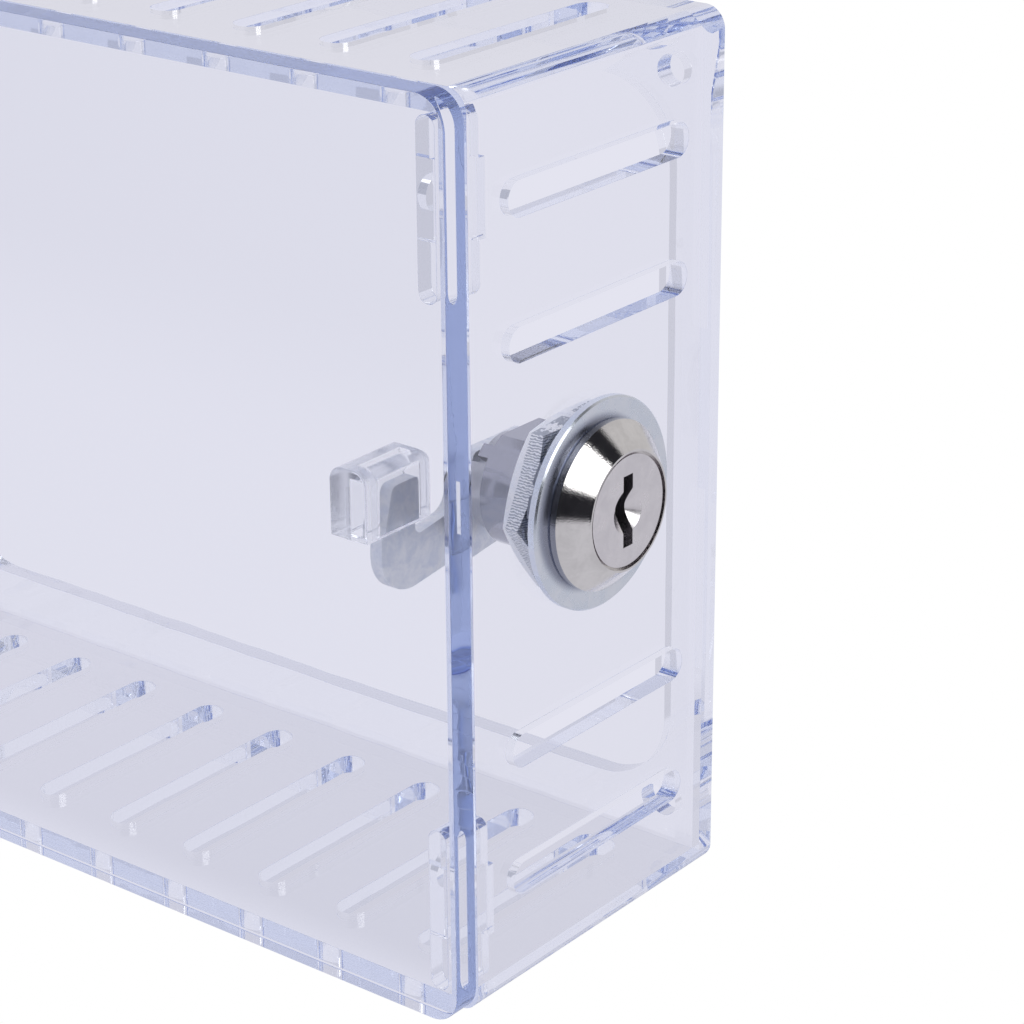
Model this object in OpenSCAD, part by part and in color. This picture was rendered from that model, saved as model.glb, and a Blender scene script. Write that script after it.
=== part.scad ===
// Clear wall-mounted guard box for a thermostat, with a hinged front door
// and a key-operated cam lock in its right wall.
// The origin is the centre of the four screw holes, on the plane of the wall
// behind the box. The door faces -Y and +Z is up.

/* [Box] */
// Outside width
box_w = 167; // [150:1:200]
// Outside height
box_h = 130; // [118:1:150]
// Depth from the wall to the door's front face
box_d = 60; // [56:1:80]
// Thickness of the four side walls
wall_t = 3; // [2:0.1:4]
// Thickness of the frame that lies against the wall
back_t = 3; // [2:0.1:4]
// Radius of the four long outside edges of the box
corner_r = 3.2; // [3.2:0.1:8]

/* [Door] */
// Thickness of the door plate
door_t = 4.2; // [3:0.1:5]
// Radius of the door's corners
door_corner_r = 4.5; // [3.2:0.1:8]
// Gap between the shut door and the rim of the walls
door_gap = 0.4; // [0.2:0.05:0.8]
// Thickness of each locating tab, across the box
tab_t = 3; // [1.6:0.1:4]
// Height of each locating tab
tab_h = 24.4; // [16:0.1:30]
// How far a locating tab reaches into the box
tab_reach = 4.9; // [3:0.1:6]
// Extra reach of the step in the middle of each tab
tab_step = 1.2; // [0:0.1:3]

/* [Vent slots] */
// Width of every slot
slot_w = 4.9; // [3:0.1:7]
// Length of the slots in the top and the bottom
slot_len = 39; // [20:1:42]
// Length of the slots in the side walls
side_slot_len = 39.2; // [20:0.1:42]
// How much higher the side slots are than the middle of the box
side_slot_rise = 0.3; // [0:0.1:1]
// Spacing of the slots in the top and the bottom
slot_pitch = 15.3; // [12:0.1:18]
// Number of slots in the top, and in the bottom
slot_count = 10; // [2:1:11]
// Distance from mid-height to the two inner side slots
side_slot_near = 29; // [26:0.5:34]
// Distance from mid-height to the two outer side slots
side_slot_far = 48.5; // [42:0.5:52]

/* [Back frame] */
// Width of the frame left at each side of the opening
frame_side = 8.4; // [6:0.1:14]
// Height of the frame left above and below the opening
frame_end = 11; // [9:0.1:16]
// Radius of the opening's corners
opening_r = 12; // [6:0.5:20]
// Diameter of the four screw holes
screw_hole_d = 4.5; // [4:0.1:5]
// Distance of each screw hole from the nearest side
screw_inset_x = 8.4; // [7:0.1:9]
// Distance of each screw hole from the top or the bottom
screw_inset_z = 9.2; // [8:0.1:9.6]

/* [Hinge] */
// Diameter of the hinge knuckles
knuckle_d = 6; // [5:0.1:6]
// Diameter of the hinge pins
pin_d = 2.5; // [2:0.1:3]
// Height of the door's knuckle in each hinge
door_knuckle_h = 9; // [6:0.5:14]
// Height of each of the two knuckles on the box
box_knuckle_h = 7; // [5:0.5:10]
// Distance from mid-height to the middle of each hinge
hinge_z = 42; // [34:1:50]

/* [Lock] */
// Depth of the lock's axis behind the door's front face
lock_depth = 31.2; // [29:0.1:34]
// Height of the lock's axis above the middle of the box
lock_z = 2.4; // [-4:0.1:4]
// Diameter of the threaded barrel
barrel_d = 18; // [17:0.1:18]
// Width of the barrel across its two flats
barrel_flats = 16; // [15:0.1:17]
// Length of the barrel behind the outside of the wall
barrel_len = 14.6; // [14.2:0.1:15]
// Diameter of the bezel
bezel_d = 24; // [23:0.1:27]
// Diameter of the bezel's front edge
bezel_front_d = 17.6; // [17.2:0.1:19]
// Height of the bezel's straight side
bezel_side = 1.4; // [1:0.1:2.4]
// Height of the bezel above the trim washer
bezel_h = 4.4; // [4.2:0.1:6]
// Diameter of the trim washer
washer_d = 30; // [28:0.1:34]
// Thickness of the trim washer
washer_t = 1.2; // [0.6:0.1:1.4]
// Size of the lock nut across its flats
nut_af = 23; // [22:0.1:24]
// Thickness of the lock nut
nut_t = 4; // [3:0.1:5]
// Diameter of the plug's face
plug_face_d = 15.8; // [14.6:0.1:16]
// Diameter of the turning plug inside the barrel
plug_d = 13; // [12.6:0.1:13.4]
// Height of the keyhole
key_h = 10.3; // [8:0.1:10.6]
// Width of the keyhole
key_w = 2.1; // [1.6:0.1:2.4]

/* [Cam and catch] */
// Thickness of the cam
cam_t = 2; // [1.6:0.1:2.2]
// Width of the cam's head on the lock
head_w = 13; // [12:0.1:14]
// Height of the cam's head above the lock's axis
head_top = 5.3; // [5:0.1:7]
// Width of the catch block, across the box
block_w = 6.4; // [6:0.1:8]
// Depth of the catch block behind the door plate
block_d = 13.3; // [13:0.1:14]
// Height of the catch block
block_h = 10; // [9.6:0.1:12]

/* [Hidden] */

CLEAR = [0.82, 0.85, 0.95, 0.45];
CHROME = [0.80, 0.80, 0.80];
ZINC = [0.66, 0.69, 0.70];
BRASS = [0.80, 0.66, 0.34];
STEEL = [0.60, 0.62, 0.65];

// Overlap of joined shapes and overshoot of cuts
eps = 0.5;
// Radial clearance of a turning fit
fit = 0.05;
// Radial clearance of a fixed fit
snug = 0.01;

// Door and walls, as planes along Y
door_front = -box_d;
door_back = door_front + door_t;
wall_front = door_back + door_gap;
inside_r = corner_r - wall_t;
slot_mid = wall_front + (box_d - door_t - door_gap) / 2;

// Hinge axis, beside the left edge and on the plane where door and box meet
hinge_play = 0.2;
hinge_x = -box_w / 2 - knuckle_d / 2 - hinge_play;
hinge_y = (door_back + wall_front) / 2;
knuckle_gap = 0.25;

// Clearances of the locating tabs, and the step in the middle of each
tab_side_gap = 0.3;
tab_end_gap = 0.4;
tab_middle_h = 10.8;
tab_middle_off = 0.4;

// Lock, measured outward from the outside of the right wall
wall_x = box_w / 2;
lock_y = door_front + lock_depth;
bezel_front = washer_t + bezel_h;
face_recess = 1.7;
face_floor = bezel_front - face_recess;
face_gap = 0.4;
hole_play = 0.1;
washer_soft = 0.25;
bezel_soft = 0.2;
bezel_corner = 0.3;
tooth_washer_t = 1;
nut_soft = 0.2;
nut_chamfer = 0.9;
shoulder_t = 1;
shoulder_in = 0.5;
stop_t = 2.2;
stop_r = 7.6;
stop_notch_r = 6.4;
stop_lug_in = 6.7;
stop_lug_out = 8.4;
stop_lug_w = 2;
cam_face = -barrel_len - shoulder_t - stop_t;
tail = 6;
tail_hole = 6.1;
tail_short = 0.2;
spring_washer_t = 0.8;
spring_washer_r = 4.2;
split_w = 0.7;
screw_head = 1.6;
screw_af = 6;
screw_d = 4;
screw_depth = 6;
screw_room = 1;

// Wafers, counted from the face of the plug
wafer_count = 5;
wafer_first = 1.6;
wafer_pitch = 2.5;
wafer_t = 1;
wafer_slot = 1.12;
wafer_w = 6.8;
wafer_round_r = 6.3;
wafer_hole_w = key_w + 0.4;
wafer_hole_h = 8.6;
lug_w = 1.5;
lug_y = 1.1;
lug_t = 1.1;
spring_x = wafer_w / 2 + 0.95;
spring_bottom = -3.6;
spring_r = 0.36;
spring_wire_r = 0.11;
spring_turns = 5;

// Cam outline, from the lock's axis. x is toward the wall behind, y is up.
tip_r = 6.1;
tip_x = -15.9;
tip_y = -5;
tooth_back = -15;
tooth_top = 5.1;
crest_x = -19.3;
crest_r = 1.3;
crest_end_r = 0.7;
tooth_foot = -3.7;
foot_r = 1.2;
neck_r = 2.8;
neck_y = -0.2;
head_r = 1.2;
heel_r = 2.9;
heel_y = -5.9;

// Catch block: the cavity that the cam's tooth turns up into
block_x = box_w / 2 - 16 - block_w;
block_z = lock_z - 0.9;
cavity_w = 3;
cavity_right = 1.4;
cavity_front = 3.3;
cavity_back = 1.2;
cavity_top = 2;
block_round = 2;

// The keyhole's round dimple
dish_r = 3.2;
dish_floor_r = 1.1;
dish_depth = 1.4;
face_step = 0.2;

// Points of a circular arc from angle a0 to angle a1
function arc(cx, cy, r, a0, a1, steps = 12) = [
    for (i = [0 : steps]) let (a = a0 + (a1 - a0) * i / steps) [cx + r * cos(a), cy + r * sin(a)]
];

// Flat rounded rectangle, centred
module round_rect(w, h, r, fn = 48) {
    square([w - 2 * r, h], center = true);
    square([w, h - 2 * r], center = true);
    for (x = [-1, 1], y = [-1, 1])
        translate([x * (w / 2 - r), y * (h / 2 - r)]) circle(r, $fn = fn);
}

// Flat slot with round ends, centred, its length along Y
module slot_shape(w, len) {
    square([w, len - w], center = true);
    for (y = [-1, 1])
        translate([0, y * (len - w) / 2]) circle(d = w, $fn = 32);
}

// Turns a shape drawn in X and Z, with its thickness along its own Z, into depth along Y
module across_front(y_front, depth) {
    translate([0, y_front + depth, 0]) rotate([90, 0, 0])
        linear_extrude(depth) children();
}

// Lock axes: x toward the wall behind, y up, z out of the right wall
module on_lock_axis() {
    translate([wall_x, lock_y, lock_z]) rotate([90, 0, 90]) children();
}

// Ring or disc along the lock's axis, from z0 to z1
module ring(z0, z1, r_out, r_in = 0, fn = 96) {
    translate([0, 0, z0]) difference() {
        cylinder(h = z1 - z0, r = r_out, $fn = fn);
        if (r_in > 0)
            translate([0, 0, -eps]) cylinder(h = z1 - z0 + 2 * eps, r = r_in, $fn = fn);
    }
}

// Cylinder with two flats, above and below
module flatted(z0, z1, r, flats) {
    translate([0, 0, z0]) intersection() {
        cylinder(h = z1 - z0, r = r, $fn = 96);
        translate([-r - eps, -flats / 2, 0]) cube([2 * (r + eps), flats, z1 - z0]);
    }
}

// Round hole that runs past both faces of the back frame
module screw_hole() {
    translate([0, eps, 0]) rotate([90, 0, 0])
        cylinder(h = back_t + 2 * eps, d = screw_hole_d, $fn = 48);
}

module top_and_bottom_slots() {
    first = -(slot_count - 1) / 2 * slot_pitch;
    for (i = [0 : slot_count - 1], z = [-box_h / 2, box_h / 2 - wall_t])
        translate([first + i * slot_pitch, slot_mid, z - eps])
            linear_extrude(wall_t + 2 * eps) slot_shape(slot_w, slot_len);
}

module side_slots() {
    for (side = [-1, 1], z = [-side_slot_far, -side_slot_near, side_slot_near, side_slot_far])
        translate([side * (box_w - wall_t) / 2, slot_mid, z + side_slot_rise])
            rotate([0, 90, 0]) translate([0, 0, -wall_t / 2 - eps])
                linear_extrude(wall_t + 2 * eps) slot_shape(slot_w, side_slot_len);
}

// Upright knuckle on the hinge axis with the web that joins it to the box or the door
module knuckle(z_mid, height, web_y0, web_y1, bore_r) {
    translate([0, 0, z_mid - height / 2]) difference() {
        union() {
            translate([hinge_x, hinge_y, 0]) cylinder(h = height, d = knuckle_d, $fn = 48);
            translate([hinge_x, web_y0, 0])
                cube([-box_w / 2 - hinge_x + eps, web_y1 - web_y0, height]);
        }
        translate([hinge_x, hinge_y, -eps]) cylinder(h = height + 2 * eps, r = bore_r, $fn = 48);
    }
}

module box_knuckles() {
    offset_z = (door_knuckle_h + box_knuckle_h) / 2 + knuckle_gap;
    for (hinge = [-1, 1], end = [-1, 1])
        knuckle(hinge * hinge_z + end * offset_z, box_knuckle_h,
                wall_front, hinge_y + knuckle_d / 2, pin_d / 2 + snug);
}

module hinge_pin(hinge) {
    length = door_knuckle_h + 2 * (box_knuckle_h + knuckle_gap);
    translate([hinge_x, hinge_y, hinge * hinge_z - length / 2])
        cylinder(h = length, d = pin_d, $fn = 48);
}

// Back frame and the four slotted walls, one clear moulding
module base_box() {
    depth = -wall_front;
    color(CLEAR) difference() {
        union() {
            across_front(wall_front, depth) round_rect(box_w, box_h, corner_r);
            box_knuckles();
        }
        across_front(wall_front - eps, depth - back_t + eps)
            round_rect(box_w - 2 * wall_t, box_h - 2 * wall_t, inside_r);
        across_front(-back_t - eps, back_t + 2 * eps)
            round_rect(box_w - 2 * frame_side, box_h - 2 * frame_end, opening_r, 64);
        for (x = [-1, 1], z = [-1, 1])
            translate([x * (box_w / 2 - screw_inset_x), 0, z * (box_h / 2 - screw_inset_z)])
                screw_hole();
        top_and_bottom_slots();
        side_slots();
        on_lock_axis() flatted(-wall_t - eps, eps, barrel_d / 2 + hole_play, barrel_flats + 2 * hole_play);
    }
}

// Stepped tab that enters the box beside its right wall, at the top or the bottom
module locating_tab(end) {
    tab_x = box_w / 2 - wall_t - tab_side_gap - tab_t / 2;
    tab_z = end * (box_h / 2 - wall_t - tab_end_gap - tab_h / 2);
    across_front(door_back - eps, tab_reach + eps)
        translate([tab_x, tab_z]) slot_shape(tab_t, tab_h);
    across_front(door_back - eps, tab_reach + tab_step + eps)
        translate([tab_x, tab_z + end * tab_middle_off]) square([tab_t, tab_middle_h], center = true);
}

// Door plate with its hinge knuckles and locating tabs, one clear moulding
module front_door() {
    color(CLEAR) union() {
        across_front(door_front, door_t) round_rect(box_w, box_h, door_corner_r);
        for (hinge = [-1, 1])
            knuckle(hinge * hinge_z, door_knuckle_h,
                    hinge_y - knuckle_d / 2, door_back, pin_d / 2 + fit);
        for (end = [-1, 1]) locating_tab(end);
    }
}

// Flat plate standing on y = 0, centred across, with its two upper corners rounded
module round_top(w, h, r) {
    translate([-w / 2, 0]) square([w, h - r]);
    translate([-w / 2 + r, 0]) square([w - 2 * r, h]);
    for (x = [-1, 1])
        translate([x * (w / 2 - r), h - r]) circle(r, $fn = 48);
}

// Clear block bonded to the door, hollow from below, that the cam hooks into
module catch_block() {
    color(CLEAR) translate([block_x, door_back, block_z]) difference() {
        intersection() {
            translate([block_w / 2, block_d, 0]) rotate([90, 0, 0])
                linear_extrude(block_d) round_top(block_w, block_h, block_round);
            rotate([90, 0, 90]) linear_extrude(block_w)
                round_top(2 * block_d, block_h, block_round);
        }
        translate([block_w - cavity_right - cavity_w, cavity_front, -eps])
            cube([cavity_w, block_d - cavity_front - cavity_back, block_h - cavity_top + eps]);
    }
}

module upper_hinge_pin() {
    color(STEEL) hinge_pin(1);
}

module lower_hinge_pin() {
    color(STEEL) hinge_pin(-1);
}

// Bezel and barrel, one casting, with the lug that stops the turning washer
module lock_housing() {
    lug_angle = 135;
    color(CHROME) on_lock_axis() {
        difference() {
            union() {
                flatted(-barrel_len, washer_t, barrel_d / 2, barrel_flats);
                translate([0, 0, washer_t]) rotate_extrude($fn = 96)
                    polygon([
                        [0, 0], [bezel_d / 2 - bezel_soft, 0], [bezel_d / 2, bezel_soft],
                        [bezel_d / 2, bezel_side - bezel_corner],
                        [bezel_d / 2 - bezel_corner, bezel_side],
                        [bezel_front_d / 2, bezel_h - bezel_soft],
                        [bezel_front_d / 2 - bezel_soft, bezel_h],
                        [0, bezel_h]
                    ]);
            }
            ring(face_floor, bezel_front + eps, plug_face_d / 2 + face_gap);
            ring(-barrel_len - eps, face_floor + eps, plug_d / 2 + fit);
        }
        rotate([0, 0, lug_angle]) translate([stop_lug_in, -stop_lug_w / 2, -barrel_len - stop_t])
            cube([stop_lug_out - stop_lug_in, stop_lug_w, stop_t + eps]);
    }
}

// Wide flat washer between the wall and the bezel
module trim_washer() {
    color(ZINC) on_lock_axis() rotate_extrude($fn = 96)
        polygon([
            [barrel_d / 2 + hole_play, 0], [washer_d / 2, 0], [washer_d / 2, washer_t - washer_soft],
            [washer_d / 2 - washer_soft, washer_t], [barrel_d / 2 + hole_play, washer_t]
        ]);
}

// Toothed washer between the inside of the wall and the nut
module tooth_washer() {
    teeth = 16;
    outer_r = 12.2;
    gullet_r = 1;
    gullet_at = outer_r + 0.3;
    color(ZINC) on_lock_axis() difference() {
        ring(-wall_t - tooth_washer_t, -wall_t, outer_r, barrel_d / 2 + hole_play);
        for (i = [0 : teeth - 1])
            rotate([0, 0, i * 360 / teeth]) translate([gullet_at, 0, -wall_t - 2 * tooth_washer_t])
                cylinder(h = 3 * tooth_washer_t, r = gullet_r, $fn = 16);
    }
}

// Hexagonal nut with both faces chamfered
module lock_nut() {
    nut_turn = 4;
    nut_back = -wall_t - tooth_washer_t - nut_t;
    corner = nut_af / 2 / cos(30);
    color(ZINC) on_lock_axis() translate([0, 0, nut_back]) difference() {
        intersection() {
            rotate([0, 0, nut_turn]) cylinder(h = nut_t, r = corner, $fn = 6);
            rotate_extrude($fn = 96)
                polygon([
                    [0, 0], [nut_af / 2 - nut_soft, 0], [corner + nut_soft, nut_chamfer],
                    [corner + nut_soft, nut_t - nut_chamfer], [nut_af / 2 - nut_soft, nut_t],
                    [0, nut_t]
                ]);
        }
        translate([0, 0, -eps]) cylinder(h = nut_t + 2 * eps, r = barrel_d / 2 + snug, $fn = 96);
    }
}

// Place of wafer i along the lock's axis, measured to the side facing inward
function wafer_z(i) = wafer_first - i * wafer_pitch;

// Window through the plug for one wafer, its lug and its spring
module wafer_window(i) {
    z = wafer_z(i) - (wafer_slot - wafer_t) / 2;
    translate([-wafer_w / 2 - fit, -plug_d, z]) cube([wafer_w + 2 * fit, 2 * plug_d, wafer_slot]);
    translate([0, spring_bottom, z])
        cube([wafer_w / 2 + lug_w + 2 * fit, lug_y + lug_t - spring_bottom + fit, wafer_slot]);
}

// Turning plug with its face, keyhole, wafer windows and square tail
module lock_plug() {
    tail_end = cam_face - cam_t + tail_short;
    keyway_end = -barrel_len + 3;
    color(CHROME) on_lock_axis() difference() {
        union() {
            ring(face_floor + fit, bezel_front - face_step, plug_face_d / 2);
            ring(-barrel_len, face_floor + eps, plug_d / 2);
            ring(-barrel_len - shoulder_t, -barrel_len + eps, plug_d / 2 - shoulder_in);
            translate([-tail / 2, -tail / 2, tail_end])
                cube([tail, tail, -barrel_len - tail_end]);
        }
        translate([-key_w / 2, -key_h / 2, keyway_end])
            cube([key_w, key_h, bezel_front - keyway_end]);
        translate([0, 0, bezel_front - face_step - dish_depth])
            cylinder(h = dish_depth, r1 = dish_floor_r, r2 = dish_r, $fn = 48);
        for (i = [0 : wafer_count - 1]) wafer_window(i);
        translate([0, 0, cam_face - cam_t - eps])
            cylinder(h = screw_depth + eps, r = screw_d / 2, $fn = 48);
    }
}

// Flat wafer with the window that the key blade passes through, and its spring lug
module wafer(i) {
    color(BRASS) on_lock_axis() translate([0, 0, wafer_z(i)]) difference() {
        union() {
            intersection() {
                translate([-wafer_w / 2, -wafer_round_r, 0])
                    cube([wafer_w, 2 * wafer_round_r, wafer_t]);
                cylinder(h = wafer_t, r = wafer_round_r, $fn = 64);
            }
            translate([wafer_w / 2 - eps, lug_y, 0]) cube([lug_w + eps, lug_t, wafer_t]);
        }
        translate([-wafer_hole_w / 2, -wafer_hole_h / 2, -eps])
            cube([wafer_hole_w, wafer_hole_h, wafer_t + 2 * eps]);
    }
}

// Level cut through the coiled wire. It is long along the coil because the wire climbs slowly.
function wire_section() =
    let (climb = atan((lug_y - spring_bottom) / spring_turns / (2 * PI * spring_r)))
    let (spread = spring_wire_r / sin(climb) / spring_r * 180 / PI)
    [for (t = [0 : 45 : 315])
        let (r = spring_r + spring_wire_r * sin(t), a = spread * cos(t)) [r * cos(a), r * sin(a)]];

// Small coil spring that pushes one wafer's lug up
module wafer_spring(i) {
    length = lug_y - spring_bottom;
    color(STEEL) on_lock_axis()
        translate([spring_x, spring_bottom, wafer_z(i) + wafer_t / 2])
            rotate([-90, 0, 0])
                linear_extrude(length, twist = -360 * spring_turns, slices = 12 * spring_turns)
                    polygon(wire_section());
}

// Washer that turns with the plug. Its notch meets the housing's lug at each end of the turn.
module stop_washer() {
    notch_from = 33;
    notch_to = 147;
    color(ZINC) on_lock_axis() translate([0, 0, -barrel_len - shoulder_t - stop_t])
        linear_extrude(stop_t) difference() {
            circle(stop_r, $fn = 96);
            square(tail_hole, center = true);
            polygon(concat(arc(0, 0, stop_notch_r, notch_from, notch_to, 24),
                           arc(0, 0, stop_r + eps, notch_to, notch_from, 24)));
        }
}

// Outline of the cam from its heel, by way of the tip and the tooth, to the top of its head
function cam_outline() = concat(
    arc(head_w / 2 - heel_r, heel_y, heel_r, 360, 276, 8),
    arc(tip_x, tip_y, tip_r, 277, 180, 16),
    [[tip_x - tip_r + 0.2, -0.5]],
    arc(crest_x, tooth_top - crest_r, crest_r, 165, 90, 6),
    arc(tooth_back - crest_end_r, tooth_top - crest_end_r, crest_end_r, 90, 0, 6),
    arc(tooth_back + foot_r, tooth_foot + foot_r, foot_r, 180, 270, 8),
    arc(-head_w / 2 - neck_r, neck_y, neck_r, 275, 360, 10),
    arc(-head_w / 2 + head_r, head_top - head_r, head_r, 180, 90, 6),
    arc(head_w / 2 - head_r, head_top - head_r, head_r, 90, 0, 6)
);

// Hooked cam plate: its tooth stands up inside the catch block when the lock is shut
module cam() {
    color(ZINC) on_lock_axis() translate([0, 0, cam_face - cam_t]) difference() {
        linear_extrude(cam_t) polygon(cam_outline());
        translate([-tail_hole / 2, -tail_hole / 2, -eps])
            cube([tail_hole, tail_hole, cam_t + 2 * eps]);
    }
}

// Split spring washer under the screw's head
module cam_spring_washer() {
    washer_face = cam_face - cam_t - spring_washer_t;
    color(STEEL) on_lock_axis() difference() {
        ring(washer_face, washer_face + spring_washer_t, spring_washer_r, screw_d / 2 + 0.15, 64);
        translate([0, -split_w / 2, washer_face - eps])
            cube([spring_washer_r + eps, split_w, spring_washer_t + 2 * eps]);
    }
}

// Hexagon screw that holds the cam on the plug's tail
module cam_screw() {
    under_head = cam_face - cam_t - spring_washer_t;
    color(STEEL) on_lock_axis() {
        translate([0, 0, under_head - screw_head])
            cylinder(h = screw_head, r = screw_af / 2 / cos(30), $fn = 6);
        ring(under_head - eps, cam_face - cam_t + screw_depth - screw_room, screw_d / 2 - snug, 0, 48);
    }
}

base_box();
front_door();
catch_block();
upper_hinge_pin();
lower_hinge_pin();
lock_housing();
trim_washer();
tooth_washer();
lock_nut();
lock_plug();
for (i = [0 : wafer_count - 1]) {
    wafer(i);
    wafer_spring(i);
}
stop_washer();
cam();
cam_spring_washer();
cam_screw();
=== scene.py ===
# %% [markdown]
# # A clear lock box for a thermostat
# This notebook dresses a finished mechanical model in Blender. The model is a clear plastic
# guard box with a hinged door and a cam lock in its right wall. Every part arrives at its real
# size and place. What is left is the look: clear plastic that bends light, a chromed bezel,
# zinc-plated steel, brass painted with the keyway's dark shade, and the studio around them.

# %% Load the model
from math import cos, radians, sin
import bmesh
import bpy
from mathutils import Matrix, Vector


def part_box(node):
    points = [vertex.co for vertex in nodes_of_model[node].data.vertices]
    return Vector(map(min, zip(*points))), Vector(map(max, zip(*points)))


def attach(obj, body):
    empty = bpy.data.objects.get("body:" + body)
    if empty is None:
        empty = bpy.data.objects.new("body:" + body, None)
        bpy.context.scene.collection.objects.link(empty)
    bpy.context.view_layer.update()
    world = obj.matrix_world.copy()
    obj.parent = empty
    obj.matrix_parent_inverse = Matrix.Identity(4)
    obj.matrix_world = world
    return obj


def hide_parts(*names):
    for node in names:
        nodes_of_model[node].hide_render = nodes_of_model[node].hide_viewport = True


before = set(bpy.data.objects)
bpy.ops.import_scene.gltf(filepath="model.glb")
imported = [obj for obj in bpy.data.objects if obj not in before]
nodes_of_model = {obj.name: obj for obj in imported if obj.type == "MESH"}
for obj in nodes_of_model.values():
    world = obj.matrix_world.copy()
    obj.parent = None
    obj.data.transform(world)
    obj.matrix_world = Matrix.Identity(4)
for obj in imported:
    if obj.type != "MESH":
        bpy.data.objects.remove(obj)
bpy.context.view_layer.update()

MM = 0.001
scene = bpy.context.scene
print("parts:", len(nodes_of_model))

# %% [markdown]
# ## The camera
# The photograph looks down on the lock's side of the box from about 40 degrees to the right,
# through a long lens, and crops the box on the left. A long lens keeps parallel edges nearly
# parallel. The camera could be aimed with a constraint, but three angles and a place say the
# same in numbers that can be checked against the picture.

# %% Place the camera
FOCAL_PIXELS = 3144
FRAME_PIXELS = 1024
CAMERA_AT = Vector((320.4, -344.8, 161.7)) * MM
turn, tilt, roll = radians(38.51), radians(22.15), radians(-0.49)

backward = Vector((sin(turn) * cos(tilt), -cos(turn) * cos(tilt), sin(tilt)))
level_right = (-backward).cross(Vector((0, 0, 1))).normalized()
level_up = level_right.cross(-backward)
right = level_right * cos(roll) + level_up * sin(roll)
up = level_up * cos(roll) - level_right * sin(roll)

lens = bpy.data.cameras.new("long_lens")
lens.sensor_width = 36
lens.lens = FOCAL_PIXELS / FRAME_PIXELS * lens.sensor_width
lens.clip_start = 0.01
camera = bpy.data.objects.new("camera", lens)
scene.collection.objects.link(camera)
camera.matrix_world = Matrix((
    (right.x, up.x, backward.x, CAMERA_AT.x),
    (right.y, up.y, backward.y, CAMERA_AT.y),
    (right.z, up.z, backward.z, CAMERA_AT.z),
    (0, 0, 0, 1),
))
scene.camera = camera
print("lens:", round(lens.lens, 1), "mm")

# %% [markdown]
# ## How far light may travel
# A ray that enters the edge of a clear plate runs along inside it, like light in a glass
# fibre, and may bounce thirty times before it leaves at the other end. The render gives up
# after a few bounces unless it is told otherwise, and what it gives up on turns black. So the
# bounces are raised, and the colours are shown without the film-like curve.

# %% Let light travel
scene.cycles.max_bounces = 256
scene.cycles.glossy_bounces = 192
scene.cycles.transmission_bounces = 96
scene.cycles.transparent_max_bounces = 32
scene.view_settings.view_transform = "Standard"
print("bounces:", scene.cycles.max_bounces)

# %% [markdown]
# ## Small helpers for shader trees
# A shader is a graph of nodes. Written out in full, each node takes four or five lines, so two
# helpers keep the recipes short: one adds a node and fills in its sockets, the other adds a
# chain of plain arithmetic.

# %% Define the helpers
def add(tree, kind, settings=None, **sockets):
    """Adds a node. A socket's value may be a number, a colour or another node's output."""
    node = tree.nodes.new(kind)
    for name, value in (settings or {}).items():
        setattr(node, name, value)
    for name, value in sockets.items():
        socket = node.inputs[name.replace("_", " ")]
        if isinstance(value, bpy.types.NodeSocket):
            tree.links.new(value, socket)
        else:
            socket.default_value = value
    return node


def math(tree, operation, first, second=0.0):
    """Adds one arithmetic node and returns its output."""
    node = tree.nodes.new("ShaderNodeMath")
    node.operation = operation
    for socket, value in zip(node.inputs, (first, second)):
        if isinstance(value, bpy.types.NodeSocket):
            tree.links.new(value, socket)
        else:
            socket.default_value = value
    return node.outputs[0]


def smooth_step(tree, value, low, high):
    """Rises from 0 to 1 as value goes from low to high."""
    node = add(tree, "ShaderNodeMapRange", {"interpolation_type": "SMOOTHSTEP"},
               Value=value, From_Min=low, From_Max=high)
    return node.outputs["Result"]


def mix_colour(tree, factor, first, second):
    """Mixes two colours and returns the result."""
    node = tree.nodes.new("ShaderNodeMix")
    node.data_type = "RGBA"
    for index, value in ((0, factor), (6, first), (7, second)):
        if isinstance(value, bpy.types.NodeSocket):
            tree.links.new(value, node.inputs[index])
        else:
            node.inputs[index].default_value = value
    return node.outputs[2]


def rgb(red, green, blue):
    """A colour given as it reads on a screen, 0 to 255, turned into the render's own scale."""
    def linear(level):
        level = level / 255
        return level / 12.92 if level < 0.04045 else ((level + 0.055) / 1.055) ** 2.4
    return (linear(red), linear(green), linear(blue), 1.0)


print("mid grey:", [round(level, 3) for level in rgb(128, 128, 128)])

# %% [markdown]
# ## The studio
# Chrome and clear plastic have almost no colour of their own. They show the room, so the room
# is modelled with care. Behind the box hangs a pale lavender backdrop. The camera's side of the
# room is dark, with one soft window high on the right, and the floor is a pale grey sweep. The
# cut-out photograph is pure white outside the box, so rays that come straight from the camera
# see white.
# Lamps could do this, but a lamp seen through a clear plate makes noise. The sky shader is
# smooth, and its Light Path node can tell what kind of ray is asking.

# %% Paint the sky shader
BACKDROP = rgb(228, 228, 240)
FLOOR_GREY = rgb(204, 203, 208)
WHITE = (1, 1, 1, 1)
WALL_GREY = rgb(205, 203, 203)
SLATE = rgb(97, 104, 123)
ROOM_DARK = (0.018, 0.018, 0.022, 1)
WINDOW_GLOW = (2.6, 2.6, 2.6, 1)
WINDOW_TOWARD = (0.866, -0.075, 0.494)
DARK_HALF_TOWARD = (0.35, -1, 0)
SLATE_FLOOR_TOWARD = (-0.577, -0.725, -0.377)

sky = bpy.data.worlds.new("studio")
scene.world = sky
sky.use_nodes = True
tree = sky.node_tree
toward = add(tree, "ShaderNodeTexCoord").outputs["Generated"]


def facing(tree, direction):
    """Cosine of the angle between the ray and a fixed direction."""
    node = add(tree, "ShaderNodeVectorMath", {"operation": "DOT_PRODUCT"})
    tree.links.new(toward, node.inputs[0])
    node.inputs[1].default_value = Vector(direction).normalized()
    return node.outputs["Value"]


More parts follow.
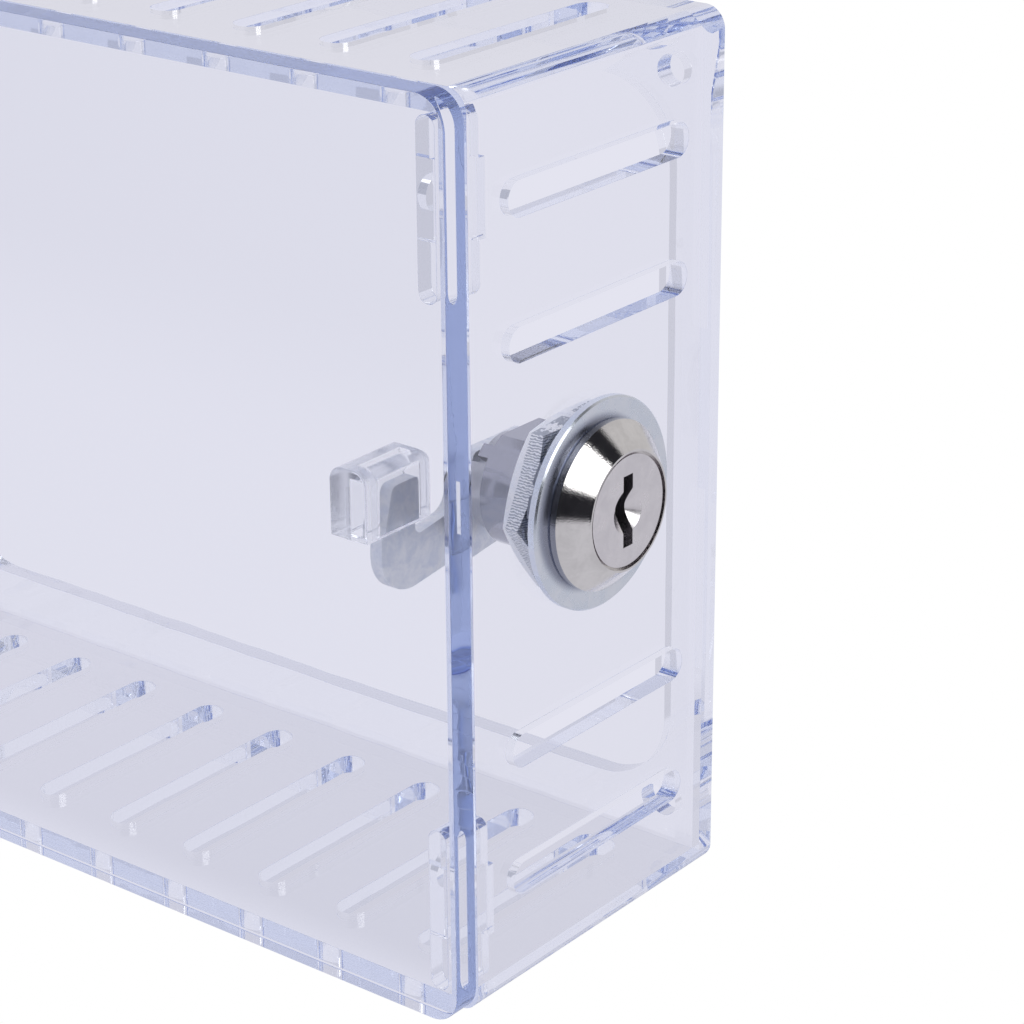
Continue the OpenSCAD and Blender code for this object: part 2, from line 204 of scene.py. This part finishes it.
def patch(tree, direction, size, edge):
    """A round soft patch of the sky, 1 inside and 0 outside, its size and edge in degrees."""
    return smooth_step(tree, facing(tree, direction),
                       cos(radians(size + edge)), cos(radians(size - edge)))


split = add(tree, "ShaderNodeSeparateXYZ", Vector=toward)
height = split.outputs["Z"]
window = patch(tree, WINDOW_TOWARD, 22, 1.5)
front_side = smooth_step(tree, facing(tree, DARK_HALF_TOWARD), -0.42, -0.34)
below = smooth_step(tree, math(tree, "MULTIPLY", height, -1), 0.12, 0.18)
front_floor = patch(tree, SLATE_FLOOR_TOWARD, 40, 25)

room = mix_colour(tree, front_side, WALL_GREY, ROOM_DARK)
room = mix_colour(tree, below, room, FLOOR_GREY)
room = mix_colour(tree, front_floor, room, SLATE)
room = mix_colour(tree, window, room, WINDOW_GLOW)
print("sky nodes:", len(tree.nodes))

# %% [markdown]
# Light that has passed through the plastic comes mostly from the backdrop. Only where a rounded
# edge bends it strongly does it come from the dark side of the room or from the window, and
# that is what draws the thin dark and white lines round every slot.

# %% Give each kind of ray its own view of the room
CAMERA_SIDE_GREY = rgb(180, 182, 196)

camera_side = patch(tree, backward, 38, 12)
through = mix_colour(tree, camera_side, BACKDROP, CAMERA_SIDE_GREY)
through = mix_colour(tree, window, through, WINDOW_GLOW)
path = add(tree, "ShaderNodeLightPath")
seen = mix_colour(tree, path.outputs["Is Glossy Ray"], through, room)
seen = mix_colour(tree, path.outputs["Is Transmission Ray"], seen, through)
seen = mix_colour(tree, path.outputs["Is Diffuse Ray"], seen, BACKDROP)
seen = mix_colour(tree, path.outputs["Is Camera Ray"], seen, WHITE)
tree.links.new(seen, tree.nodes["Background"].inputs["Color"])

# %% [markdown]
# ## The floor and the sheet behind the box
# A clear object on a white floor hardly shades it, so the camera sees a plain white sweep. Seen
# through the plastic, the floor is the backdrop's lavender, with a painted shadow a little darker
# under the box and beside it. A pale sheet hangs just behind the open back, hidden by the box
# itself. Through the open slots it shows the backdrop's lavender. From behind it can't be seen.

# %% Make the floor and the sheet
case_low, case_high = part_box("base_box")


def flat_panel(name, corners):
    """A single four-sided panel."""
    mesh = bpy.data.meshes.new(name)
    mesh.from_pydata([Vector(corner) for corner in corners], [], [(0, 1, 2, 3)])
    panel = bpy.data.objects.new(name, mesh)
    scene.collection.objects.link(panel)
    return panel


FLOOR_REACH = 3.0
FLOOR_GAP = 0.4 * MM
SHEET_GAP = 1 * MM
floor_z = case_low[2] - FLOOR_GAP
floor = flat_panel("floor", [
    (-FLOOR_REACH, -FLOOR_REACH, floor_z), (FLOOR_REACH, -FLOOR_REACH, floor_z),
    (FLOOR_REACH, FLOOR_REACH, floor_z), (-FLOOR_REACH, FLOOR_REACH, floor_z)])

sheet_left, sheet_right = case_low[0] + 10 * MM, case_high[0] - 8 * MM
sheet_low, sheet_high = case_low[2] + 2 * MM, case_high[2] - 2 * MM
sheet_y = case_high[1] + SHEET_GAP
sheet = flat_panel("backdrop_sheet", [
    (sheet_left, sheet_y, sheet_low), (sheet_right, sheet_y, sheet_low),
    (sheet_right, sheet_y, sheet_high), (sheet_left, sheet_y, sheet_high)])
print("sheet:", round(sheet_right - sheet_left, 4), "by", round(sheet_high - sheet_low, 4), "m")

# %% Give the floor and the sheet their light
floor_look = bpy.data.materials.new("white_sweep")
floor_look.use_nodes = True
tree = floor_look.node_tree
tree.nodes.remove(tree.nodes["Principled BSDF"])
path = add(tree, "ShaderNodeLightPath")
grain = add(tree, "ShaderNodeTexNoise", Scale=3.0, Detail=2.0)
spot = add(tree, "ShaderNodeSeparateXYZ",
           Vector=add(tree, "ShaderNodeNewGeometry").outputs["Position"])
across, deep = spot.outputs["X"], spot.outputs["Y"]


def between(tree, value, low, high, edge):
    """1 between two limits and 0 outside them, in metres."""
    rise = smooth_step(tree, value, low - edge, low + edge)
    fall = smooth_step(tree, value, high - edge, high + edge)
    return math(tree, "SUBTRACT", rise, fall)


BACKDROP_GRAIN = rgb(226, 226, 239)
SHADOW_LEFT, SHADOW_RIGHT = rgb(217, 216, 229), rgb(209, 209, 222)
SHADOW_BESIDE = rgb(205, 205, 217)

# Painted shadow on the floor, under the box and beside it.
under_box = math(tree, "MULTIPLY", between(tree, across, -0.09, 0.084, 0.004),
                 between(tree, deep, -0.052, 0.004, 0.006))
shadow = mix_colour(tree, smooth_step(tree, across, -0.09, 0.06), SHADOW_LEFT, SHADOW_RIGHT)
beside = math(tree, "MULTIPLY", smooth_step(tree, across, 0.095, 0.105),
              smooth_step(tree, deep, -0.01, 0.01))
pale = mix_colour(tree, grain.outputs["Fac"], BACKDROP, BACKDROP_GRAIN)
pale = mix_colour(tree, under_box, pale, shadow)
pale = mix_colour(tree, beside, pale, SHADOW_BESIDE)
dark_front = smooth_step(tree, deep, -0.30, -0.20)
mirrored = mix_colour(tree, dark_front, ROOM_DARK, FLOOR_GREY)
shade = mix_colour(tree, path.outputs["Is Glossy Ray"], pale, mirrored)
shade = mix_colour(tree, path.outputs["Is Transmission Ray"], shade, pale)
shade = mix_colour(tree, path.outputs["Is Camera Ray"], shade, WHITE)
glow = add(tree, "ShaderNodeEmission", Color=shade)
tree.links.new(glow.outputs[0], tree.nodes["Material Output"].inputs["Surface"])
floor.data.materials.append(floor_look)

sheet_look = bpy.data.materials.new("backdrop_sheet")
sheet_look.use_nodes = True
tree = sheet_look.node_tree
tree.nodes.remove(tree.nodes["Principled BSDF"])
glow = add(tree, "ShaderNodeEmission", Color=BACKDROP)
clear = add(tree, "ShaderNodeBsdfTransparent")
behind = add(tree, "ShaderNodeNewGeometry").outputs["Backfacing"]
one_sided = tree.nodes.new("ShaderNodeMixShader")
for socket, source in zip(one_sided.inputs, (behind, glow.outputs[0], clear.outputs[0])):
    tree.links.new(source, socket)
tree.links.new(one_sided.outputs[0], tree.nodes["Material Output"].inputs["Surface"])
sheet.data.materials.append(sheet_look)

# %% [markdown]
# ## A soft lamp
# The outside of the lock stands in open air, where a lamp costs nothing. One large soft lamp
# high on the right lights the bezel, the washer and the plug's face.

# %% Hang the lamp
def soft_lamp(name, place, target, size, power):
    """A square lamp that the camera doesn't see."""
    light = bpy.data.lights.new(name, "AREA")
    light.size = size
    light.energy = power
    lamp = bpy.data.objects.new(name, light)
    scene.collection.objects.link(lamp)
    lamp.location = place
    aim = Vector(target) - Vector(place)
    lamp.rotation_euler = aim.to_track_quat("-Z", "Y").to_euler()
    lamp.visible_camera = False
    lamp.visible_transmission = False
    lamp.visible_glossy = False
    return lamp


soft_lamp("window_lamp", (0.9, -0.25, 0.65), (0.08, -0.03, 0), 0.5, 3.0)

# %% [markdown]
# ## Shader groups that several finishes share
# A node group is a small reusable recipe with named inputs and outputs. Three are enough here.
# `moulding_waves` gives the slow unevenness of a moulded or rolled surface. `plating_clouds`
# gives the cloudy patches of zinc plate. `fine_grit` gives the fine sparkle of a surface that
# was blasted or tumbled before it was plated.

# %% Define a way to build groups
def new_group(name, inputs, outputs):
    """An empty node group with float inputs and float outputs."""
    group = bpy.data.node_groups.new(name, "ShaderNodeTree")
    sockets = group.interface
    for label, value in inputs.items():
        socket = sockets.new_socket(name=label, in_out="INPUT", socket_type="NodeSocketFloat")
        socket.default_value = value
    for label in outputs:
        sockets.new_socket(name=label, in_out="OUTPUT", socket_type="NodeSocketFloat")
    entry = group.nodes.new("NodeGroupInput")
    leave = group.nodes.new("NodeGroupOutput")
    return group, entry, leave


def place_group(tree, group, **values):
    """Puts a group into a material, with its own values."""
    node = tree.nodes.new("ShaderNodeGroup")
    node.node_tree = group
    for label, value in values.items():
        node.inputs[label.replace("_", " ")].default_value = value
    return node


# %% Build the three groups
def object_place(tree):
    """Where a point is on the object, in metres."""
    return add(tree, "ShaderNodeTexCoord").outputs["Object"]


FINE_SHARE = 0.004
waves, entry, leave = new_group("moulding_waves", {"Size": 60.0, "Fine Size": 900.0},
                                ["Height", "Mask"])
place = object_place(waves)
slow = add(waves, "ShaderNodeTexNoise", Vector=place, Scale=entry.outputs["Size"], Detail=1.0)
fine = add(waves, "ShaderNodeTexNoise", Vector=place, Scale=entry.outputs["Fine Size"],
           Detail=2.0)
faint = math(waves, "MULTIPLY", fine.outputs["Fac"], FINE_SHARE)
summed = math(waves, "ADD", slow.outputs["Fac"], faint)
waves.links.new(summed, leave.inputs["Height"])
waves.links.new(fine.outputs["Fac"], leave.inputs["Mask"])

clouds, entry, leave = new_group("plating_clouds", {"Size": 300.0, "Contrast": 1.0},
                                 ["Mask", "Height"])
place = object_place(clouds)
large = add(clouds, "ShaderNodeTexNoise", Vector=place, Scale=entry.outputs["Size"],
            Detail=4.0, Roughness=0.6, Distortion=0.6)
small_size = math(clouds, "MULTIPLY", entry.outputs["Size"], 6.0)
small = add(clouds, "ShaderNodeTexVoronoi", Vector=place, Scale=small_size)
centred = math(clouds, "SUBTRACT", large.outputs["Fac"], 0.5)
contrast = math(clouds, "MULTIPLY", entry.outputs["Contrast"], 2.2)
spread = math(clouds, "MULTIPLY", centred, contrast)
cell = math(clouds, "MULTIPLY", small.outputs["Distance"], 0.25)
mask = math(clouds, "ADD", math(clouds, "ADD", spread, 0.4), cell)
clouds.links.new(smooth_step(clouds, mask, 0.0, 1.0), leave.inputs["Mask"])
clouds.links.new(mask, leave.inputs["Height"])

grit, entry, leave = new_group("fine_grit", {"Size": 4000.0, "Density": 0.5}, ["Height", "Speck"])
place = object_place(grit)
noise = add(grit, "ShaderNodeTexNoise", Vector=place, Scale=entry.outputs["Size"],
            Detail=3.0, Roughness=0.7)
cells = add(grit, "ShaderNodeTexVoronoi", Vector=place, Scale=entry.outputs["Size"])
limit = math(grit, "SUBTRACT", 1.0, entry.outputs["Density"])
speck = math(grit, "GREATER_THAN", noise.outputs["Fac"], limit)
rough = math(grit, "ADD", noise.outputs["Fac"], cells.outputs["Distance"])
grit.links.new(rough, leave.inputs["Height"])
grit.links.new(speck, leave.inputs["Speck"])
print("groups:", sorted(group.name for group in bpy.data.node_groups))

# %% [markdown]
# ## The clear plastic
# The box, the door and the catch block are clear injection-moulded plastic. Through its 3 mm it
# looks colourless, but along a plate, through 170 mm, it takes out red and green, so the edges
# glow blue. A tinted surface can't do that. The Principled shader bends and mirrors the light,
# and a Volume Absorption node inside the solid takes out a little for each millimetre.
# A very slight waviness keeps the surfaces from looking like optical glass. The edges on the
# hinge side and the far end of the catch block are left satin, as a saw or a mill leaves them.
# Polished, they would throw light back into the plate again and again. Satin lets it out, so
# the long edges glow evenly. A mask made from the position on the object says where, and each
# zone has its own roughness: coarse as sawn, finer as milled.

# %% Prepare the plastic's numbers and helpers
PLASTIC_IOR = 1.5
BODY_TINT = (0.24, 0.415, 0.80, 1)
BODY_DENSITY = 6.0
FAINTEST_TINT = (0.985, 0.985, 0.992, 1)
MASK_EDGE = 0.05 * MM


def principled(name):
    """A new material, its tree and its Principled shader."""
    look = bpy.data.materials.new(name)
    look.use_nodes = True
    return look, look.node_tree, look.node_tree.nodes["Principled BSDF"]


def bump(tree, shader, height, distance, strength=1.0):
    """Raises the surface by a height map, in metres."""
    node = add(tree, "ShaderNodeBump", Height=height, Distance=distance, Strength=strength)
    tree.links.new(node.outputs["Normal"], shader.inputs["Normal"])
    return node


def place_between(tree, axis, low, high):
    """1 where the object's own X, Y or Z lies between two limits, and 0 elsewhere."""
    value = add(tree, "ShaderNodeSeparateXYZ", Vector=object_place(tree)).outputs[axis]
    return between(tree, value, low, high, MASK_EDGE)


def clear_plastic(name, wave_depth, satin_zones):
    """Clear plastic with a faint blue body colour. A satin zone is a roughness and its limits."""
    look, tree, shader = principled(name)
    satin = 0.0
    for roughness, limits in satin_zones:
        inside = roughness
        for axis, low, high in limits:
            inside = math(tree, "MULTIPLY", inside, place_between(tree, axis, low, high))
        satin = math(tree, "MAXIMUM", satin, inside)
    tree.links.new(satin, shader.inputs["Roughness"])
    surface = place_group(tree, waves, Size=70.0, Fine_Size=1500.0)
    tint = mix_colour(tree, surface.outputs["Mask"], FAINTEST_TINT, WHITE)
    tree.links.new(tint, shader.inputs["Base Color"])
    shader.inputs["IOR"].default_value = PLASTIC_IOR
    shader.inputs["Transmission Weight"].default_value = 1.0
    bump(tree, shader, surface.outputs["Height"], wave_depth)
    body = tree.nodes.new("ShaderNodeVolumeAbsorption")
    body.inputs["Color"].default_value = BODY_TINT
    body.inputs["Density"].default_value = BODY_DENSITY
    tree.links.new(body.outputs[0], tree.nodes["Material Output"].inputs["Volume"])
    return look


print("plastic: bends light", PLASTIC_IOR, "times")

# %% Make the plastic of the box and of the door
WALL = 3 * MM
EDGE_ROUND = 0.3 * MM
AIR_FILM = 0.02 * MM
BOX_WAVES, DOOR_WAVES = 0.00004, 0.00003
SAWN, MILLED, FINELY_MILLED = 0.7, 0.45, 0.25
FAR = 1.0
hinge_end = -case_high[0] + 0.2 * MM
block_low, block_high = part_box("catch_block")
clear_box = clear_plastic("clear_box", BOX_WAVES, [
    (SAWN, [("X", -FAR, hinge_end), ("Y", case_high[1] - WALL - AIR_FILM, FAR)]),
    (SAWN, [("X", -FAR, hinge_end), ("Z", case_high[2] - WALL, FAR)]),
    (SAWN, [("X", -FAR, hinge_end), ("Z", -FAR, case_low[2] + WALL)]),
])
clear_door = clear_plastic("clear_door", DOOR_WAVES, [
    (MILLED, [("X", -FAR, hinge_end)]),
    (FINELY_MILLED, [("X", block_low[0] - MM, block_low[0] + EDGE_ROUND),
                     ("Y", block_low[1] + EDGE_ROUND, FAR)]),
])
print("clear plastics:", clear_box.name, clear_door.name)

# %% [markdown]
# ## The clear mouldings
# No moulded edge is sharp. A rounding of a third of a millimetre catches a thin bright or dark
# line, and it also lets light out of corners that would otherwise hold it for ever. The model's
# own meshes stay as they are, so each moulding is a copy with its flat facets merged and its
# edges bevelled.
# Where two smooth faces touch, light crosses from one to the other. Real parts lie together with
# a film of air between them, so the wall's faces stand back 0.02 mm from the lock's washers.
# The same film parts the back frame from the right wall, above and below the lock, where the
# photograph shows a fine line.
# The catch block is bonded to the door. The photograph's door edge shows the bond as one thin
# bright bar, so only a narrow strip joins them here, and boolean unions make them one body.

# %% Round the edges of a moulding
def copy_of(name, node):
    """An independent copy of one of the model's meshes."""
    piece = bpy.data.objects.new(name, nodes_of_model[node].data.copy())
    piece.data.materials.clear()
    scene.collection.objects.link(piece)
    return piece


def apply(piece, kind, **settings):
    """Adds one modifier and makes its result the mesh."""
    modifier = piece.modifiers.new(kind.lower(), kind)
    for name, value in settings.items():
        setattr(modifier, name, value)
    bpy.context.view_layer.update()
    shaped = piece.evaluated_get(bpy.context.evaluated_depsgraph_get())
    mesh = bpy.data.meshes.new_from_object(shaped)
    piece.modifiers.clear()
    piece.data = mesh


def merge_facets(piece):
    """Welds doubled points and merges triangles that lie in one plane."""
    mesh = bmesh.new()
    mesh.from_mesh(piece.data)
    bmesh.ops.remove_doubles(mesh, verts=mesh.verts, dist=1e-6)
    bmesh.ops.dissolve_limit(mesh, angle_limit=radians(0.5), verts=mesh.verts, edges=mesh.edges)
    mesh.to_mesh(piece.data)
    mesh.free()


def open_edges(piece):
    """How many edges don't have exactly two faces: 0 for a closed body."""
    mesh = bmesh.new()
    mesh.from_mesh(piece.data)
    count = sum(1 for edge in mesh.edges if len(edge.link_faces) != 2)
    mesh.free()
    return count


def round_edges(piece, width):
    """Bevels every sharp edge and shades the rest smooth."""
    apply(piece, "BEVEL", width=width, segments=3, limit_method="ANGLE",
          angle_limit=radians(35), harden_normals=False, use_clamp_overlap=True,
          miter_outer="MITER_ARC")
    piece.data.shade_smooth()


def keep_flats_flat(piece):
    """Makes the shading follow the large faces, so that flat plates look flat."""
    apply(piece, "WEIGHTED_NORMAL", keep_sharp=True, weight=50)


def block_between(name, low, high):
    """A plain block between two corners, to join or cut with."""
    mesh = bmesh.new()
    bmesh.ops.create_cube(mesh, size=1)
    for point in mesh.verts:
        for axis in range(3):
            point.co[axis] = high[axis] if point.co[axis] > 0 else low[axis]
    block = bpy.data.objects.new(name, bpy.data.meshes.new(name))
    mesh.to_mesh(block.data)
    mesh.free()
    scene.collection.objects.link(block)
    return block


def combine(piece, tool, operation):
    """Joins or cuts with another mesh, uses it up, and keeps the new edges crisp."""
    apply(piece, "BOOLEAN", object=tool, operation=operation, solver="EXACT")
    bpy.data.objects.remove(tool)
    piece.data.set_sharp_from_angle(angle=radians(40))


# %% Make the box
box_moulding = copy_of("box_moulding", "base_box")
merge_facets(box_moulding)
outer_x = case_high[0]
inner_x = outer_x - WALL
for point in box_moulding.data.vertices:
    for plane, step in ((outer_x, -AIR_FILM), (inner_x, AIR_FILM)):
        if abs(point.co.x - plane) < 0.01 * MM:
            point.co.x += step
round_edges(box_moulding, EDGE_ROUND)

frame_front = case_high[1] - WALL
FILM_END = 61.9 * MM
LOCK_GAP_LOW, LOCK_GAP_HIGH = -4 * MM, 20 * MM
for film_low, film_high in ((-FILM_END, LOCK_GAP_LOW), (LOCK_GAP_HIGH, FILM_END)):
    film = block_between("film", (inner_x - 0.5 * MM, frame_front - AIR_FILM / 2, film_low),
                         (outer_x + MM, frame_front + AIR_FILM / 2, film_high))
    combine(box_moulding, film, "DIFFERENCE")
keep_flats_flat(box_moulding)
box_moulding.data.materials.append(clear_box)
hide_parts("base_box")
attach(box_moulding, "box")
print("box:", len(box_moulding.data.polygons), "faces, open edges:", open_edges(box_moulding))

# %% Weld the catch block to the door
door_moulding = copy_of("door_moulding", "front_door")
block = copy_of("block_to_weld", "catch_block")
for point in block.data.vertices:
    if point.co.y < block_low[1] + 0.01 * MM:
        point.co.y += AIR_FILM
for piece in (door_moulding, block):
    merge_facets(piece)
    round_edges(piece, EDGE_ROUND)

WELD_DEPTH = 0.6 * MM
weld_left, weld_right = block_low[0] + 2.95 * MM, block_low[0] + 4.3 * MM
weld_low, weld_high = block_low[2] + 0.1 * MM, block_high[2] - 2.4 * MM
weld = block_between("weld", (weld_left, block_low[1] - WELD_DEPTH, weld_low),
                     (weld_right, block_low[1] + WELD_DEPTH, weld_high))
for piece in (weld, block):
    combine(door_moulding, piece, "UNION")
keep_flats_flat(door_moulding)
door_moulding.data.materials.clear()
door_moulding.data.materials.append(clear_door)
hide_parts("front_door", "catch_block")
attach(door_moulding, "door")
print("door:", len(door_moulding.data.polygons), "faces, open edges:", open_edges(door_moulding))

# %% [markdown]
# ## Metal finishes
# All metal here is a mirror of some kind. What sets chrome, zinc and satin nickel apart is the
# tint, the roughness, and the scale of the unevenness. One function makes them all, and each
# finish passes its own numbers. The shared groups give the unevenness.
# Three finishes have something more. The chrome behind the wall is painted darker, as shade. The
# nut's flats show fine ridges, which a wave texture along Z draws. Beside the bezel the washer
# carries painted shade, a soft darker patch for the bezel's dark side mirrored in the washer.

# %% Make a metal
OUTSIDE_EDGE = 0.2 * MM
RIDGE_SCALE = 900.0
RIDGE_GAP_TINT = rgb(170, 176, 188)
SHADE_EDGE_INSIDE, SHADE_EDGE_OUTSIDE = 0.5 * MM, 0.9 * MM


def metal(name, dark, light, roughness, cloud_size=300.0, grit_size=4000.0, grit_depth=0.0,
          roughness_spread=0.08, wave_depth=0.0, inside=None, ridged=None, shade=None):
    """A plated metal between two tints, clouded, with fine grit. Inside is a painted shade, a
    darker tint behind the wall. Ridged gives two values of X, with fine ridges between them.
    Shade is a
    painted shade, a soft round patch: its centre, its radius and its tint."""
    look, tree, shader = principled(name)
    cloud = place_group(tree, clouds, Size=cloud_size)
    sand = place_group(tree, grit, Size=grit_size)
    colour = mix_colour(tree, cloud.outputs["Mask"], dark, light)
    # Painted shade: behind the wall the metal takes the darker inside tint.
    if inside:
        spot = add(tree, "ShaderNodeSeparateXYZ", Vector=object_place(tree))
        outside = smooth_step(tree, spot.outputs["X"], outer_x - OUTSIDE_EDGE, outer_x)
        colour = mix_colour(tree, outside, inside, colour)
    if ridged:
        ridges = add(tree, "ShaderNodeTexWave", {"bands_direction": "Z"}, Scale=RIDGE_SCALE,
                     Vector=object_place(tree), Distortion=5.0, Detail=3.0, Detail_Scale=2.0)
        gaps = smooth_step(tree, ridges.outputs["Fac"], 0.35, 0.75)
        gaps = math(tree, "MULTIPLY", gaps, place_between(tree, "X", *ridged))
        colour = mix_colour(tree, gaps, colour, RIDGE_GAP_TINT)
    # Painted shade: a soft round patch darkened towards its tint, for a dark part mirrored
    # nearby.
    if shade:
        centre, radius, painted_shade_tint = shade
        away = add(tree, "ShaderNodeVectorMath", {"operation": "DISTANCE"})
        tree.links.new(object_place(tree), away.inputs[0])
        away.inputs[1].default_value = centre
        clear_of_painted_shade = smooth_step(tree, away.outputs["Value"],
                          radius - SHADE_EDGE_INSIDE, radius + SHADE_EDGE_OUTSIDE)
        colour = mix_colour(tree, clear_of_painted_shade, painted_shade_tint, colour)
    tree.links.new(colour, shader.inputs["Base Color"])
    shader.inputs["Metallic"].default_value = 1.0
    varied = math(tree, "MULTIPLY", cloud.outputs["Mask"], roughness_spread)
    tree.links.new(math(tree, "ADD", varied, roughness), shader.inputs["Roughness"])
    height = math(tree, "ADD", math(tree, "MULTIPLY", sand.outputs["Height"], grit_depth),
                  math(tree, "MULTIPLY", cloud.outputs["Height"], wave_depth))
    bump(tree, shader, height, 1.0)
    return look


# %% Measure where the ridges and the shade go
nut_low, nut_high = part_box("lock_nut")
bezel_low, bezel_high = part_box("lock_housing")
washer_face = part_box("trim_washer")[1][0]
RIDGES_FROM_END = 1.2 * MM
SHADE_FORWARD, SHADE_UP = 2.0 * MM, 0.9 * MM

ridges_start = nut_low[0] + RIDGES_FROM_END
bezel_radius = (bezel_high[2] - bezel_low[2]) / 2
# The painted shade's centre: the bezel's axis moved forward and up, on the washer's face.
painted_bezel_shade = Vector((washer_face, (bezel_high[1] + bezel_low[1]) / 2 - SHADE_FORWARD,
                      (bezel_high[2] + bezel_low[2]) / 2 + SHADE_UP))
print("bezel:", round(bezel_radius * 2, 4), "m across")

# %% Give each metal part its finish
FINISHES = {
    # Painted shade: the chrome's darker tint behind the wall.
    "lock_housing": metal("bezel_chrome", rgb(222, 220, 220), rgb(236, 234, 234), 0.05,
                          grit_size=5200.0, grit_depth=0.000005, roughness_spread=0.05,
                          inside=rgb(166, 168, 180)),
    "lock_plug": metal("plug_satin", rgb(226, 223, 227), rgb(236, 233, 236), 0.2,
                       grit_size=6500.0, grit_depth=0.0000022),
    # Painted shade: a soft darker patch beside the bezel, for the bezel's dark side mirrored
    # here.
    "trim_washer": metal("washer_zinc", rgb(222, 230, 242), rgb(234, 238, 246), 0.24,
                         wave_depth=0.000004,
                         shade=(painted_bezel_shade, bezel_radius, rgb(166, 172, 190))),
    "tooth_washer": metal("tooth_washer_zinc", rgb(128, 133, 145), rgb(146, 151, 162), 0.3),
    "lock_nut": metal("nut_zinc", rgb(236, 240, 248), rgb(252, 253, 255), 0.26,
                      grit_size=2600.0, grit_depth=0.00004,
                      ridged=(ridges_start, nut_high[0])),
    "stop_washer": metal("stop_washer_zinc", rgb(176, 178, 188), rgb(198, 200, 208), 0.3),
    "cam": metal("cam_zinc", rgb(220, 226, 238), rgb(250, 252, 255), 0.45, cloud_size=420.0,
                 wave_depth=0.00002),
    "cam_spring_washer": metal("spring_washer_steel", rgb(140, 142, 148), rgb(168, 170, 176),
                               0.25),
    "cam_screw": metal("screw_steel", rgb(150, 152, 158), rgb(180, 182, 188), 0.22),
    "hinge_pin": metal("pin_steel", rgb(224, 226, 230), rgb(240, 241, 243), 0.18),
    # Painted shade: the brass wafers, seen only deep in the keyway, get a dark bluish grey.
    "wafer": metal("wafer_brass", rgb(66, 70, 84), rgb(104, 104, 108), 0.3),
    "wafer_spring": metal("spring_wire", rgb(150, 152, 156), rgb(184, 186, 190), 0.2),
}

for name, part in nodes_of_model.items():
    for family, finish in FINISHES.items():
        if name == family or name.endswith(family) or name.rsplit("_", 1)[0] == family:
            part.data.materials.clear()
            part.data.materials.append(finish)
print("metal finishes:", len(FINISHES))
